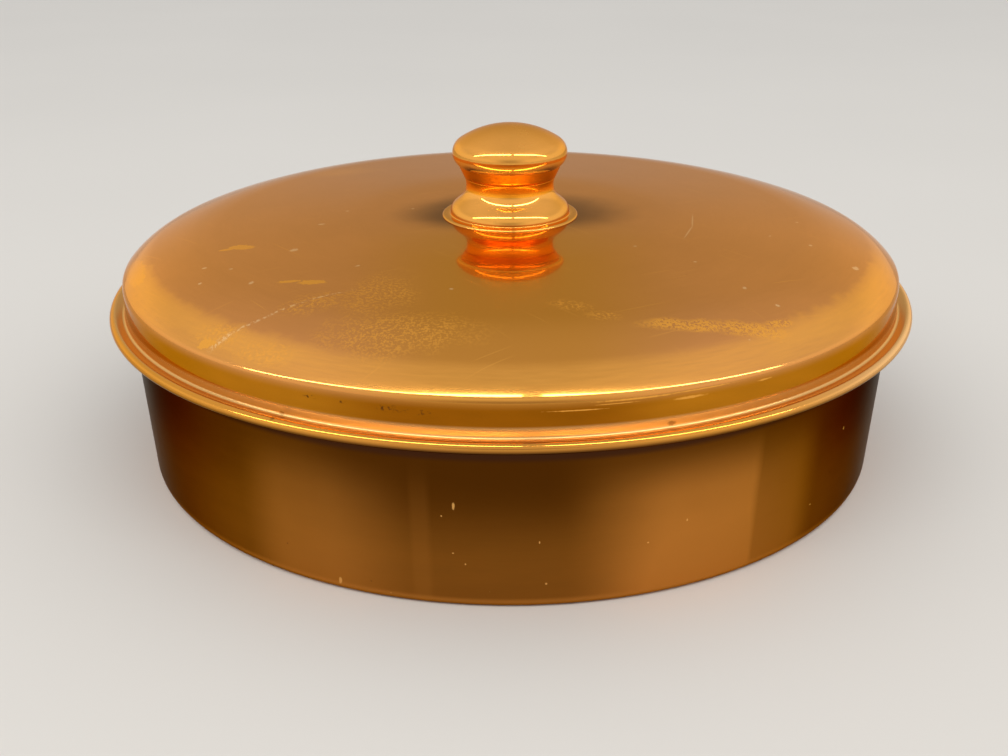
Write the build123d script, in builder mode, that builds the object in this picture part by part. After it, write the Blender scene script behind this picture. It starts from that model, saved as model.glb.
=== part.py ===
"""Round covered serving dish in spun copper sheet: a shallow dish and a slip-over lid with a knob.

Every piece is turned about the Z axis. Z = 0 is the table under the dish, and the lid lifts along +Z.
Each sheet piece is the trace of its middle line, and its sizes are those of its visible face.
Lengths are in millimetres and angles in degrees.
"""
from build123d import *
import math
import os

# Sheet thicknesses and gaps
DISH_SHEET = 1.0
LID_SHEET = 0.8
KNOB_SHEET = 0.6
SEAT_GAP = 0.25
CLEARANCE = 0.03

# Dish: flat bottom, slightly flared wall, upright neck under the lid and a rim rolled inwards
DISH_BASE_RADIUS = 111.2
DISH_CORNER_RADIUS = 2.2
DISH_NECK_RADIUS = 113.8
DISH_NECK_FOOT = 46.0
DISH_NECK_BEND = 60.0
RIM_RADIUS = 1.8
RIM_WRAP = 285.0

# Lid: nearly flat crown, broad edge, shoulder, knuckle, upright skirt, crease and rolled bead
OVERALL_DIAMETER = 240.0
LID_TOP = 68.7
CROWN_SLOPE = 0.6
EDGE_RADIUS = 74.0
EDGE_SLOPE = 20.0
SHOULDER_RADIUS = 21.4
SHOULDER_SLOPE = 42.0
KNUCKLE_RADIUS = 7.1
SKIRT_RADIUS = 115.35
BEAD_RADIUS = 1.5
BEAD_CENTRE_HEIGHT = 47.0
BEAD_WRAP = 282.0
CREASE_RADIUS = 0.8
CREASE_RISE = 21.0

# Knob body: flange on the lid, swelling bell, and throat up to the seam under the cap
FLANGE_RADIUS = 20.6
FLANGE_FILLET = 0.6
BELL_RADIUS = 18.4
BELL_SWELL = 3.4
BELL_SLOPE = 33.0
BELL_RUN = 1.1
THROAT_RADIUS = 6.0
THROAT_FLARE = 33.0

# Knob cap: cone above the seam, rounded rim and shallow dome
CAP_CONE_LENGTH = 4.2
CAP_RIM_RADIUS = 4.7
CAP_DOME_SLOPE = 32.5

# Fastening: brass anchor inside the bell, slotted screw from under the lid and its washer
ANCHOR_THICKNESS = 2.0
ANCHOR_CHAMFER = 0.6
POST_RADIUS = 5.0
POST_HEIGHT = 8.0
SCREW_RADIUS = 2.0
SCREW_GRIP = 8.0
HEAD_RADIUS = 4.2
HEAD_HEIGHT = 2.3
HEAD_ROUND = 1.2
SLOT_WIDTH = 1.0
SLOT_DEPTH = 1.1
SCREW_HOLE_RADIUS = 2.4
WASHER_RADIUS = 8.0
WASHER_THICKNESS = 1.0

RIGHT_ANGLE = 90.0
DISH_HALF = DISH_SHEET / 2
LID_HALF = LID_SHEET / 2
KNOB_HALF = KNOB_SHEET / 2


def sine(angle):
    return math.sin(math.radians(angle))


def cosine(angle):
    return math.cos(math.radians(angle))


# Worked-out sizes of the lid
edge_reach = EDGE_RADIUS * (sine(EDGE_SLOPE) - sine(CROWN_SLOPE))
shoulder_reach = SHOULDER_RADIUS * (sine(SHOULDER_SLOPE) - sine(EDGE_SLOPE))
knuckle_reach = KNUCKLE_RADIUS * (1 - sine(SHOULDER_SLOPE))
crown_reach = SKIRT_RADIUS - edge_reach - shoulder_reach - knuckle_reach
crown_radius = crown_reach / sine(CROWN_SLOPE)
crown_drop = crown_radius * (1 - cosine(CROWN_SLOPE))
edge_drop = EDGE_RADIUS * (cosine(CROWN_SLOPE) - cosine(EDGE_SLOPE))
shoulder_drop = SHOULDER_RADIUS * (cosine(EDGE_SLOPE) - cosine(SHOULDER_SLOPE))
knuckle_drop = KNUCKLE_RADIUS * cosine(SHOULDER_SLOPE)
skirt_top = LID_TOP - crown_drop - edge_drop - shoulder_drop - knuckle_drop
bead_centre_radius = OVERALL_DIAMETER / 2 - BEAD_RADIUS
crease_to_bead = CREASE_RADIUS + BEAD_RADIUS
flare_reach = bead_centre_radius - SKIRT_RADIUS - CREASE_RADIUS
flare_length = (flare_reach - crease_to_bead * sine(CREASE_RISE)) / cosine(CREASE_RISE)
crease_drop = crease_to_bead * cosine(CREASE_RISE) - flare_length * sine(CREASE_RISE)
skirt_foot = BEAD_CENTRE_HEIGHT + crease_drop

# Worked-out sizes of the dish: its rim rises until it nears the inside of the lid's knuckle
wall_flare = math.degrees(math.atan((DISH_NECK_RADIUS - DISH_BASE_RADIUS) / DISH_NECK_FOOT))
corner_turn = RIGHT_ANGLE - wall_flare
corner_reach = DISH_CORNER_RADIUS * math.tan(math.radians(corner_turn / 2))
wall_length = DISH_NECK_FOOT / cosine(wall_flare) - corner_reach
neck_radius = DISH_NECK_RADIUS + DISH_NECK_BEND * (1 - cosine(wall_flare))
neck_start = DISH_NECK_FOOT + DISH_NECK_BEND * sine(wall_flare)
rim_centre_radius = neck_radius - RIM_RADIUS
seat_radius = KNUCKLE_RADIUS - LID_SHEET - RIM_RADIUS - SEAT_GAP
seat_offset = rim_centre_radius - (SKIRT_RADIUS - KNUCKLE_RADIUS)
rim_centre_height = skirt_top + math.sqrt(seat_radius**2 - seat_offset**2)

# Worked-out sizes of the knob
flange_mid = LID_TOP + KNOB_HALF
bell_turn = RIGHT_ANGLE - BELL_SLOPE
cap_rim_turn = RIGHT_ANGLE + THROAT_FLARE - CAP_DOME_SLOPE
washer_top = LID_TOP - LID_SHEET - CLEARANCE
washer_underside = washer_top - WASHER_THICKNESS
screw_tip = LID_TOP + SCREW_GRIP
anchor_radius = BELL_RADIUS - KNOB_SHEET - CLEARANCE


# Dish: one spun piece, drawn from the middle of its bottom out to the inside of its rolled rim
with BuildPart() as dish_shell:
    with BuildSketch(Plane.XZ):
        with BuildLine():
            bottom = Line((0, DISH_HALF), (DISH_BASE_RADIUS - corner_reach, DISH_HALF))
            corner = JernArc(bottom @ 1, bottom % 1, DISH_CORNER_RADIUS - DISH_HALF, corner_turn)
            wall = PolarLine(corner @ 1, wall_length, direction=corner % 1)
            neck_bend = JernArc(wall @ 1, wall % 1, DISH_NECK_BEND - DISH_HALF, wall_flare)
            neck = PolarLine(neck_bend @ 1, rim_centre_height - neck_start, direction=neck_bend % 1)
            JernArc(neck @ 1, neck % 1, RIM_RADIUS - DISH_HALF, RIM_WRAP)
        trace(line_width=DISH_SHEET)
    revolve(axis=Axis.Z)

# Steel wire that the dish's rim is rolled round
with BuildPart() as dish_rim_wire:
    with Locations((0, 0, rim_centre_height)):
        Torus(rim_centre_radius, RIM_RADIUS - DISH_SHEET - CLEARANCE)


# Lid: one spun piece, drawn from the middle of its crown out over the knuckle to the rolled bead
with BuildPart() as lid_shell:
    with BuildSketch(Plane.XZ):
        with BuildLine():
            crown = JernArc((0, LID_TOP - LID_HALF), (1, 0), crown_radius - LID_HALF, -CROWN_SLOPE)
            edge = JernArc(crown @ 1, crown % 1, EDGE_RADIUS - LID_HALF, CROWN_SLOPE - EDGE_SLOPE)
            shoulder = JernArc(
                edge @ 1, edge % 1, SHOULDER_RADIUS - LID_HALF, EDGE_SLOPE - SHOULDER_SLOPE
            )
            knuckle = JernArc(
                shoulder @ 1, shoulder % 1, KNUCKLE_RADIUS - LID_HALF, SHOULDER_SLOPE - RIGHT_ANGLE
            )
            skirt = PolarLine(knuckle @ 1, skirt_top - skirt_foot, direction=knuckle % 1)
            crease = JernArc(skirt @ 1, skirt % 1, CREASE_RADIUS + LID_HALF, RIGHT_ANGLE + CREASE_RISE)
            flare = PolarLine(crease @ 1, flare_length, direction=crease % 1)
            JernArc(flare @ 1, flare % 1, BEAD_RADIUS - LID_HALF, -BEAD_WRAP)
        trace(line_width=LID_SHEET)
    revolve(axis=Axis.Z)
    with Locations((0, 0, LID_TOP)):
        Hole(SCREW_HOLE_RADIUS)

# Steel wire that the lid's bead is rolled round
with BuildPart() as lid_rim_wire:
    with Locations((0, 0, BEAD_CENTRE_HEIGHT)):
        Torus(bead_centre_radius, BEAD_RADIUS - LID_SHEET - CLEARANCE)


# Knob body: hollow, drawn from its flange up over the bell and through the throat to the seam
with BuildPart() as knob_body:
    with BuildSketch(Plane.XZ):
        with BuildLine():
            flange = Line((FLANGE_RADIUS, flange_mid), (BELL_RADIUS + FLANGE_FILLET, flange_mid))
            foot = JernArc(flange @ 1, flange % 1, FLANGE_FILLET + KNOB_HALF, -RIGHT_ANGLE)
            bell = JernArc(foot @ 1, foot % 1, BELL_SWELL - KNOB_HALF, bell_turn)
            bell_run = PolarLine(bell @ 1, BELL_RUN, direction=bell % 1)
            throat = JernArc(
                bell_run @ 1, bell_run % 1, THROAT_RADIUS + KNOB_HALF, -bell_turn - THROAT_FLARE
            )
        trace(line_width=KNOB_SHEET)
    revolve(axis=Axis.Z)

# Knob cap: its foot meets the body edge to edge at the seam, and its dome meets the axis level
cap_start = throat @ 1 + (throat % 1) * CLEARANCE
with BuildPart() as knob_cap:
    with BuildSketch(Plane.XZ):
        with BuildLine():
            cone = PolarLine(cap_start, CAP_CONE_LENGTH, direction=throat % 1)
            cap_rim = JernArc(cone @ 1, cone % 1, CAP_RIM_RADIUS - KNOB_HALF, cap_rim_turn)
            dome_radius = (cap_rim @ 1).X / sine(CAP_DOME_SLOPE)
            JernArc(cap_rim @ 1, cap_rim % 1, dome_radius, CAP_DOME_SLOPE)
        trace(line_width=KNOB_SHEET)
    revolve(axis=Axis.Z)


# Anchor soldered inside the bell: a disc with a tapped post that takes the screw
with BuildPart() as knob_anchor:
    with BuildSketch(Plane.XY.offset(LID_TOP)):
        Circle(anchor_radius)
    extrude(amount=ANCHOR_THICKNESS)
    chamfer(knob_anchor.edges().group_by(Axis.Z)[-1], ANCHOR_CHAMFER)
    with BuildSketch(Plane.XY.offset(LID_TOP + ANCHOR_THICKNESS)):
        Circle(POST_RADIUS)
    extrude(amount=POST_HEIGHT)
    with BuildSketch(Plane.XY.offset(LID_TOP)):
        Circle(SCREW_RADIUS + CLEARANCE)
    extrude(amount=SCREW_GRIP, mode=Mode.SUBTRACT)

# Washer between the lid and the screw's head
with BuildPart() as knob_washer:
    with BuildSketch(Plane.XY.offset(washer_underside)):
        Circle(WASHER_RADIUS)
        Circle(SCREW_HOLE_RADIUS, mode=Mode.SUBTRACT)
    extrude(amount=WASHER_THICKNESS)

# Screw: slotted pan head under the washer and a shank up into the anchor's post
with BuildPart() as knob_screw:
    with BuildSketch(Plane.XY.offset(washer_underside - HEAD_HEIGHT)):
        Circle(HEAD_RADIUS)
    extrude(amount=HEAD_HEIGHT)
    fillet(knob_screw.edges().group_by(Axis.Z)[0], HEAD_ROUND)
    with BuildSketch(Plane.XY.offset(washer_underside)):
        Circle(SCREW_RADIUS)
    extrude(amount=screw_tip - CLEARANCE - washer_underside)
    with BuildSketch(Plane.XY.offset(washer_underside - HEAD_HEIGHT)):
        Rectangle(2 * HEAD_RADIUS, SLOT_WIDTH)
    extrude(amount=SLOT_DEPTH, mode=Mode.SUBTRACT)


pieces = {
    "dish_shell": dish_shell,
    "dish_rim_wire": dish_rim_wire,
    "lid_shell": lid_shell,
    "lid_rim_wire": lid_rim_wire,
    "knob_body": knob_body,
    "knob_cap": knob_cap,
    "knob_anchor": knob_anchor,
    "knob_washer": knob_washer,
    "knob_screw": knob_screw,
}

os.makedirs("parts", exist_ok=True)
for name, piece in pieces.items():
    piece.part.label = name
    export_step(piece.part, f"parts/{name}.step")
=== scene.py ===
"""Round covered serving dish in spun copper sheet: smooth turned sheets and their finishes.

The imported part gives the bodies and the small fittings. The dish, the lid and the two sheets of
the knob are turned here again about the Z axis, each from the course of its sheet's middle line.
Lengths are in metres and angles in radians where no comment says otherwise. Z = 0 is the table.
"""
import math

import bmesh
import bpy
from mathutils import Matrix, Vector


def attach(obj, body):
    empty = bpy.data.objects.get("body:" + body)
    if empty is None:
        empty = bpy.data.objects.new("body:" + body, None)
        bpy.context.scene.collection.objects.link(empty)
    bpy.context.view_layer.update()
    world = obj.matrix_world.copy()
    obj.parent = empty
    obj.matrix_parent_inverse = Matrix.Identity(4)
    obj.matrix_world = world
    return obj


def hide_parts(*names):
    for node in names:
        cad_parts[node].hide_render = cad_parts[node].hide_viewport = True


bl_info = {
    "name": "Covered copper dish",
    "version": (1, 0, 0),
    "blender": (4, 5, 0),
    "location": "3D View > Sidebar > Dish",
    "description": "Turns the sheets of a covered copper dish and gives them their finishes",
    "category": "Add Mesh",
}

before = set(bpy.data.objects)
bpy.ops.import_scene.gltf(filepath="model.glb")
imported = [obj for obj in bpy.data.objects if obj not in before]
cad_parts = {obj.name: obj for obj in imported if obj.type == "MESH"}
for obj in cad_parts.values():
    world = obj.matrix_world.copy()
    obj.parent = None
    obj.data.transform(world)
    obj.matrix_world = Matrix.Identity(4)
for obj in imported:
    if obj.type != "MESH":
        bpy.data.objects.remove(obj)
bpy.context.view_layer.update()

MILLIMETRE = 0.001
FULL_TURN = 2 * math.pi
RIGHT_ANGLE = math.pi / 2
AXIS = (0, 0, 1)
MERGE_DISTANCE = 1e-6
ORIGIN = (0, 0, 0)
ACROSS_THE_LINES = 0.25
PATCH_RAGGEDNESS = 1.6
SIDE_MARK_DEPTH = 4 * MILLIMETRE
WIDE_SEGMENTS = 256
KNOB_SEGMENTS = 160
BELL_MIDDLE = 3.5 * MILLIMETRE


def length(name, millimetres, description):
    size = millimetres * MILLIMETRE
    return bpy.props.FloatProperty(
        name=name, description=description, default=size, min=0, precision=5, unit="LENGTH"
    )


def angle(name, degrees, description):
    turn = math.radians(degrees)
    return bpy.props.FloatProperty(
        name=name, description=description, default=turn, subtype="ANGLE", unit="ROTATION"
    )


def number(name, value, description, most=1000):
    return bpy.props.FloatProperty(
        name=name, description=description, default=value, min=0, max=most
    )


def colour(name, value, description):
    return bpy.props.FloatVectorProperty(
        name=name, description=description, default=value, min=0, max=1, size=3, subtype="COLOR"
    )


class DishSizes(bpy.types.PropertyGroup):
    """Sizes of the dish's sheet, at its outer face."""

    sheet: length("Sheet", 1.0, "Thickness of the dish's sheet")
    base_radius: length("Base radius", 111.2, "Where the wall would meet the bottom")
    corner_radius: length("Corner radius", 2.2, "Round between the bottom and the wall")
    neck_radius: length("Neck radius", 113.8, "Radius at the top of the flared wall")
    neck_foot: length("Neck foot", 46.0, "Height at which the wall turns upright")
    neck_bend: length("Neck bend", 60.0, "Radius of the bend from the wall to the neck")
    rim_radius: length("Rim radius", 1.8, "Radius of the rolled rim")
    rim_wrap: angle("Rim wrap", 285, "How far the rim is rolled round its wire")
    rim_height: length("Rim height", 56.14, "Height of the middle of the rolled rim")


class LidSizes(bpy.types.PropertyGroup):
    """Sizes of the lid's sheet, at its outer face."""

    sheet: length("Sheet", 0.8, "Thickness of the lid's sheet")
    radius: length("Radius", 119.95, "Radius over the rolled bead")
    top: length("Top", 68.7, "Height of the middle of the crown")
    middle_radius: length("Middle radius", 39.0, "Radius of the flat middle of the crown")
    fall_radius: length("Fall radius", 420.0, "Radius of the slight turn round the flat middle")
    fall_slope: angle("Fall slope", 1.5, "Slope of the crown outside that turn")
    dome_start: length("Dome start", 49.0, "Where the crown's faint doming begins")
    dome_end: length("Dome end", 90.0, "Where the crown's faint doming ends")
    dome_slope: angle("Dome slope", 2.2, "Slope that the faint doming adds")
    dome_blend: length("Dome blend", 6.0, "Softness of the doming's start and end")
    turn_radius: length("Turn radius", 51.0, "Radius of the turn from the crown to the edge")
    turn_slope: angle("Turn slope", 12.6, "Slope at the outside of that turn")
    edge_radius: length("Edge radius", 74.0, "Radius of the broad edge")
    edge_slope: angle("Edge slope", 20, "Slope at the outside of the broad edge")
    shoulder_radius: length("Shoulder radius", 22.0, "Radius of the shoulder")
    shoulder_slope: angle("Shoulder slope", 47, "Slope at the outside of the shoulder")
    knuckle_radius: length("Knuckle radius", 2.9, "Radius of the knuckle above the skirt")
    skirt_radius: length("Skirt radius", 115.35, "Radius of the upright skirt")
    crease_radius: length("Crease radius", 0.8, "Radius of the crease below the skirt")
    crease_rise: angle("Crease rise", 21, "Rise of the sheet from the crease to the bead")
    bead_radius: length("Bead radius", 1.5, "Radius of the rolled bead")
    bead_height: length("Bead height", 47.0, "Height of the middle of the bead")
    bead_wrap: angle("Bead wrap", 282, "How far the bead is rolled round its wire")
    hole_radius: length("Hole radius", 2.4, "Radius of the hole for the knob's screw")


class KnobSizes(bpy.types.PropertyGroup):
    """Sizes of the two sheets of the hollow knob, at their outer faces."""

    sheet: length("Sheet", 0.6, "Thickness of the knob's sheets")
    flange_radius: length("Flange radius", 20.6, "Radius of the flange on the lid")
    flange_roll: length("Flange roll", 0.65, "Round of the flange's turned-down edge")
    flange_fillet: length("Flange fillet", 0.3, "Round between the flange and the bell")
    bell_radius: length("Bell radius", 18.1, "Radius of the bell at its widest")
    bell_swell: length("Bell swell", 4.19, "Radius of the bell's outward curve")
    bell_slope: angle("Bell slope", 40, "Slope between the bell and the throat")
    bell_run: length("Bell run", 2.01, "Straight run between the bell and the throat")
    throat_radius: length("Throat radius", 5.29, "Radius of the throat's hollow curve")
    throat_flare: angle("Throat flare", 25, "Flare of the throat at the seam")
    seam: length("Seam", 0.01, "Gap in the seam between the body and the cap")
    cone_length: length("Cone length", 4.12, "Length of the cap's cone")
    crease_radius: length("Crease radius", 0.5, "Radius of the crease under the cap's rim")
    crease_turn: angle("Crease turn", 25.85, "How far the sheet turns out in that crease")
    cap_rim_radius: length("Cap rim radius", 4.51, "Radius of the cap's rounded rim")
    dome_slope: angle("Dome slope", 32.95, "Slope of the dome where it meets the rim")


class Finishes(bpy.types.PropertyGroup):
    """Colours of the metals, their wear, their tarnish and the light and shade painted on them."""

    lid_copper: colour("Lid copper", (0.70, 0.298, 0.090), "Satin copper of the lid's top")
    middle_copper: colour("Middle copper", (0.65, 0.280, 0.044), "Cleaner copper down the front")
    skirt_copper: colour("Skirt copper", (0.54, 0.200, 0.009), "Browner copper of the lid's skirt")
    # Painted shade: the skirt's front is painted darker for the dark that it mirrors
    painted_skirt_shade: colour("Skirt shade", (0.34, 0.105, 0.003), "Darker copper at the skirt's front")
    # Rubbed copper that also paints highlight on the shoulder, the rim's two sides and the bead
    rubbed_copper: colour("Rubbed copper", (0.95, 0.44, 0.085), "Copper rubbed bright by handling")
    # Also paints a dent's highlight on the skirt as bare copper
    bright_scuff_and_glint: colour("Bright scuff", (1.0, 0.45, 0.07), "Bare copper in fresh scuffs")
    # Painted reflection: pale copper painted in the crease for the light its hollow mirrors
    crease_copper: colour("Crease copper", (0.76, 0.44, 0.16), "Pale copper in the crease")
    halo: colour("Halo", (0.075, 0.018, 0.020), "Purple-brown tarnish beside the knob")
    dish_copper: colour("Dish copper", (0.20, 0.068, 0.006), "Brown copper of the dish's wall")
    # Painted shade: darker copper painted on the wall under the lid's bead and at its front
    painted_wall_shadow: colour("Wall shade", (0.085, 0.025, 0.0015), "Darker tarnish of the wall")
    # Painted light and wear: paints the reflection bands and the foot's highlight, and the neck's
    # rubbed rings
    wall_sheen_and_wear: colour("Wall light", (0.56, 0.215, 0.036), "Lighter rubbed copper of the wall")
    knob_copper: colour("Knob copper", (0.96, 0.43, 0.085), "Polished copper of the knob")
    flange_copper: colour("Flange copper", (0.32, 0.14, 0.045), "Brown copper of the flange")
    # Painted reflection: deep orange painted in the throat for the lid's copper that it mirrors
    neck_copper: colour("Neck copper", (1.0, 0.37, 0.020), "Deep orange copper of the neck")
    # Painted shade: golden copper painted darker on the cap's rim and the bell's sides and foot
    rim_copper: colour("Rim copper", (0.84, 0.38, 0.07), "Golden copper of the cap's rim")
    # Painted highlight: pale copper painted under the cap's rim for the lid's bright shoulder it
    # mirrors
    cap_copper: colour("Cap copper", (1.0, 0.72, 0.28), "Paler copper under the cap's rim")
    fleck: colour("Fleck", (1.0, 0.66, 0.34), "Pale flecks and chips")
    chip: colour("Chip", (0.85, 0.45, 0.12), "Golden chips on the wall")
    # Pit also paints shade: under the lid's bead and as a shadow line on the wall below it
    pit_and_shadow: colour("Pit", (0.06, 0.02, 0.008), "Dark nicks and pits")
    tin: colour("Tin", (0.70, 0.68, 0.64), "Wiped tin inside the dish and the lid")
    tin_stain: colour("Tin stain", (0.36, 0.31, 0.25), "Brown stains on the tin")
    brass: colour("Brass", (0.80, 0.58, 0.24), "Brass of the anchor, the washer and the screw")
    steel: colour("Steel", (0.48, 0.47, 0.45), "Steel wire inside the rolled edges")
    warm_edge: colour("Warm edge", (0.90, 0.68, 0.47), "Tint of the lid seen edge on")
    dark_edge: colour("Dark edge", (0.25, 0.28, 0.25), "Tint of the wall seen edge on")
    mirror_share: number("Mirror share", 0.55, "Share of the sharp reflection on the lid", 1)


class StageSettings(bpy.types.PropertyGroup):
    """Camera, floor, lamps and background."""

    camera_distance: length("Camera distance", 411.4, "From the middle of the dish's bottom")
    camera_rise: angle("Camera rise", 24.677, "Angle of the camera above the table")
    camera_swing: angle("Camera swing", 0.315, "Turn of the camera about the upright")
    camera_lift: angle("Camera lift", 1.839, "Tilt of the camera above the dish's bottom")
    camera_roll: angle("Camera roll", -0.269, "Turn of the camera about its view")
    focal_length: number("Focal length", 45.07, "In millimetres, on a 36 mm sensor")
    floor_size: length("Floor size", 3000, "Half the side of the floor")
    floor: colour("Floor", (0.70, 0.69, 0.67), "Plain pale floor")
    low_sky: colour("Low sky", (0.56, 0.555, 0.55), "Background near the horizon")
    high_sky: colour("High sky", (0.70, 0.69, 0.68), "Background overhead")
    front_sky: colour("Front sky", (0.90, 0.89, 0.87), "Background low at the front")
    side_sky: colour("Side sky", (1.0, 0.98, 0.95), "Background at the left and the right")
    lamp_tint: colour("Lamp tint", (1.0, 0.95, 0.88), "Colour of the lamps")
    tube_brightness: number("Tube brightness", 16.0, "Mirrored tubes, as a multiple of white")


class DishSettings(bpy.types.PropertyGroup):
    """Everything that a user would change."""

    dish: bpy.props.PointerProperty(type=DishSizes)
    lid: bpy.props.PointerProperty(type=LidSizes)
    knob: bpy.props.PointerProperty(type=KnobSizes)
    finishes: bpy.props.PointerProperty(type=Finishes)
    stage: bpy.props.PointerProperty(type=StageSettings)


class Course:
    """The middle line of a sheet in the XZ plane, grown by straight runs and tangent bends."""

    def __init__(self, radius, height, heading=0.0):
        self.mesh = bmesh.new()
        self.tip = self.mesh.verts.new((radius, 0, height))
        self.heading = heading

    def run(self, distance, steps=1):
        step = Vector((math.cos(self.heading), 0, math.sin(self.heading))) * (distance / steps)
        for _ in range(steps):
            grown = bmesh.ops.extrude_vert_indiv(self.mesh, verts=[self.tip])
            self.tip = grown["verts"][0]
            bmesh.ops.translate(self.mesh, verts=[self.tip], vec=step)

    def bend(self, radius, turn, steps):
        side = math.copysign(radius, turn)
        centre = self.tip.co + side * Vector((-math.sin(self.heading), 0, math.cos(self.heading)))
        grown = bmesh.ops.spin(
            self.mesh,
            geom=[self.tip],
            cent=centre,
            axis=(0, -1, 0),
            angle=turn,
            steps=steps,
        )
        self.tip = [part for part in grown["geom_last"] if isinstance(part, bmesh.types.BMVert)][0]
        self.heading += turn


def turn_sheet(name, course, sheet, segments, upright, materials):
    """Turns a course into a closed sheet about the Z axis, its shown face away from the axis.

    upright is the height of a ring whose shown face looks outwards and upwards.
    """
    mesh = course.mesh
    half_step = Matrix.Rotation(FULL_TURN / segments / 2, 3, AXIS)
    bmesh.ops.rotate(mesh, verts=mesh.verts[:], cent=ORIGIN, matrix=half_step)
    bmesh.ops.spin(
        mesh,
        geom=mesh.verts[:] + mesh.edges[:],
        cent=ORIGIN,
        axis=AXIS,
        angle=FULL_TURN,
        steps=segments,
        use_merge=True,
    )
    bmesh.ops.remove_doubles(mesh, verts=mesh.verts[:], dist=MERGE_DISTANCE)
    bmesh.ops.recalc_face_normals(mesh, faces=mesh.faces[:])
    mesh.normal_update()
    witness = min(mesh.faces, key=lambda face: abs(face.calc_center_median().z - upright))
    middle = witness.calc_center_median()
    outwards = Vector((middle.x, middle.y, 0)).normalized() + Vector(AXIS)
    if witness.normal.dot(outwards) < 0:
        bmesh.ops.reverse_faces(mesh, faces=mesh.faces[:])
    for face in mesh.faces:
        face.smooth = True
    data = bpy.data.meshes.new(name)
    mesh.to_mesh(data)
    mesh.free()
    piece = bpy.data.objects.new(name, data)
    bpy.context.scene.collection.objects.link(piece)
    for material in materials:
        data.materials.append(material)
    wall = piece.modifiers.new("Sheet", "SOLIDIFY")
    wall.thickness = sheet
    wall.offset = 0
    wall.use_even_offset = True
    wall.use_quality_normals = True
    wall.material_offset = len(materials) - 1
    return piece


def arithmetic(operation, swapped=False):
    """A method of Value that adds one Math node."""

    def combine(self, other):
        pair = (other, self) if swapped else (self, other)
        return self.nodes.maths(operation, *pair)

    return combine


class Value:
    """A number that varies over the surface; arithmetic on it adds Math nodes."""

    def __init__(self, nodes, socket):
        self.nodes = nodes
        self.socket = socket

    __add__ = arithmetic("ADD")
    __radd__ = arithmetic("ADD", swapped=True)
    __sub__ = arithmetic("SUBTRACT")
    __rsub__ = arithmetic("SUBTRACT", swapped=True)
    __mul__ = arithmetic("MULTIPLY")
    __truediv__ = arithmetic("DIVIDE")


class Nodes:
    """A node tree in the making."""

    def __init__(self, tree):
        self.tree = tree
        self.tree.nodes.clear()

    def add(self, kind, sockets=None, **settings):
        """Adds a node with its settings, and with values or links for its sockets."""
        node = self.tree.nodes.new(kind)
        for key, value in settings.items():
            setattr(node, key, value)
        for key, value in (sockets or {}).items():
            if isinstance(value, Value):
                value = value.socket
            if isinstance(value, bpy.types.NodeSocket):
                self.tree.links.new(value, node.inputs[key])
            else:
                node.inputs[key].default_value = value
        return node

    def maths(self, operation, *values):
        node = self.add("ShaderNodeMath", dict(enumerate(values)), operation=operation)
        return Value(self, node.outputs[0])

    def most(self, result, *others):
        """The largest of several values."""
        for value in others:
            result = self.maths("MAXIMUM", result, value)
        return result

    def parts(self, vector):
        """The three parts of a vector, as values."""
        outputs = self.add("ShaderNodeSeparateXYZ", {"Vector": vector}).outputs
        return [Value(self, outputs[axis]) for axis in "XYZ"]

    def rise(self, value, low, high):
        """0 below low, 1 above high and smooth between; it falls where high is below low."""
        sockets = {"Value": value, "From Min": low, "From Max": high}
        node = self.add("ShaderNodeMapRange", sockets, interpolation_type="SMOOTHSTEP")
        return Value(self, node.outputs["Result"])

    def band(self, value, low, high, soft):
        """1 between low and high, with soft ends."""
        return self.rise(value, low - soft, low) * self.rise(value, high + soft, high)

    def blend(self, under, over, factor):
        """One colour over another."""
        sockets = {0: factor, 6: self.tint(under), 7: self.tint(over)}
        return self.add("ShaderNodeMix", sockets, data_type="RGBA").outputs[2]

    def shade(self, under, factor):
        """A colour made lighter or darker by a varying number."""
        if not isinstance(under, bpy.types.NodeSocket):
            under = under[:3]
        sockets = {0: under, "Scale": factor}
        return self.add("ShaderNodeVectorMath", sockets, operation="SCALE").outputs["Vector"]

    @staticmethod
    def tint(value):
        if isinstance(value, bpy.types.NodeSocket):
            return value
        return (*value[:3], 1.0)


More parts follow.
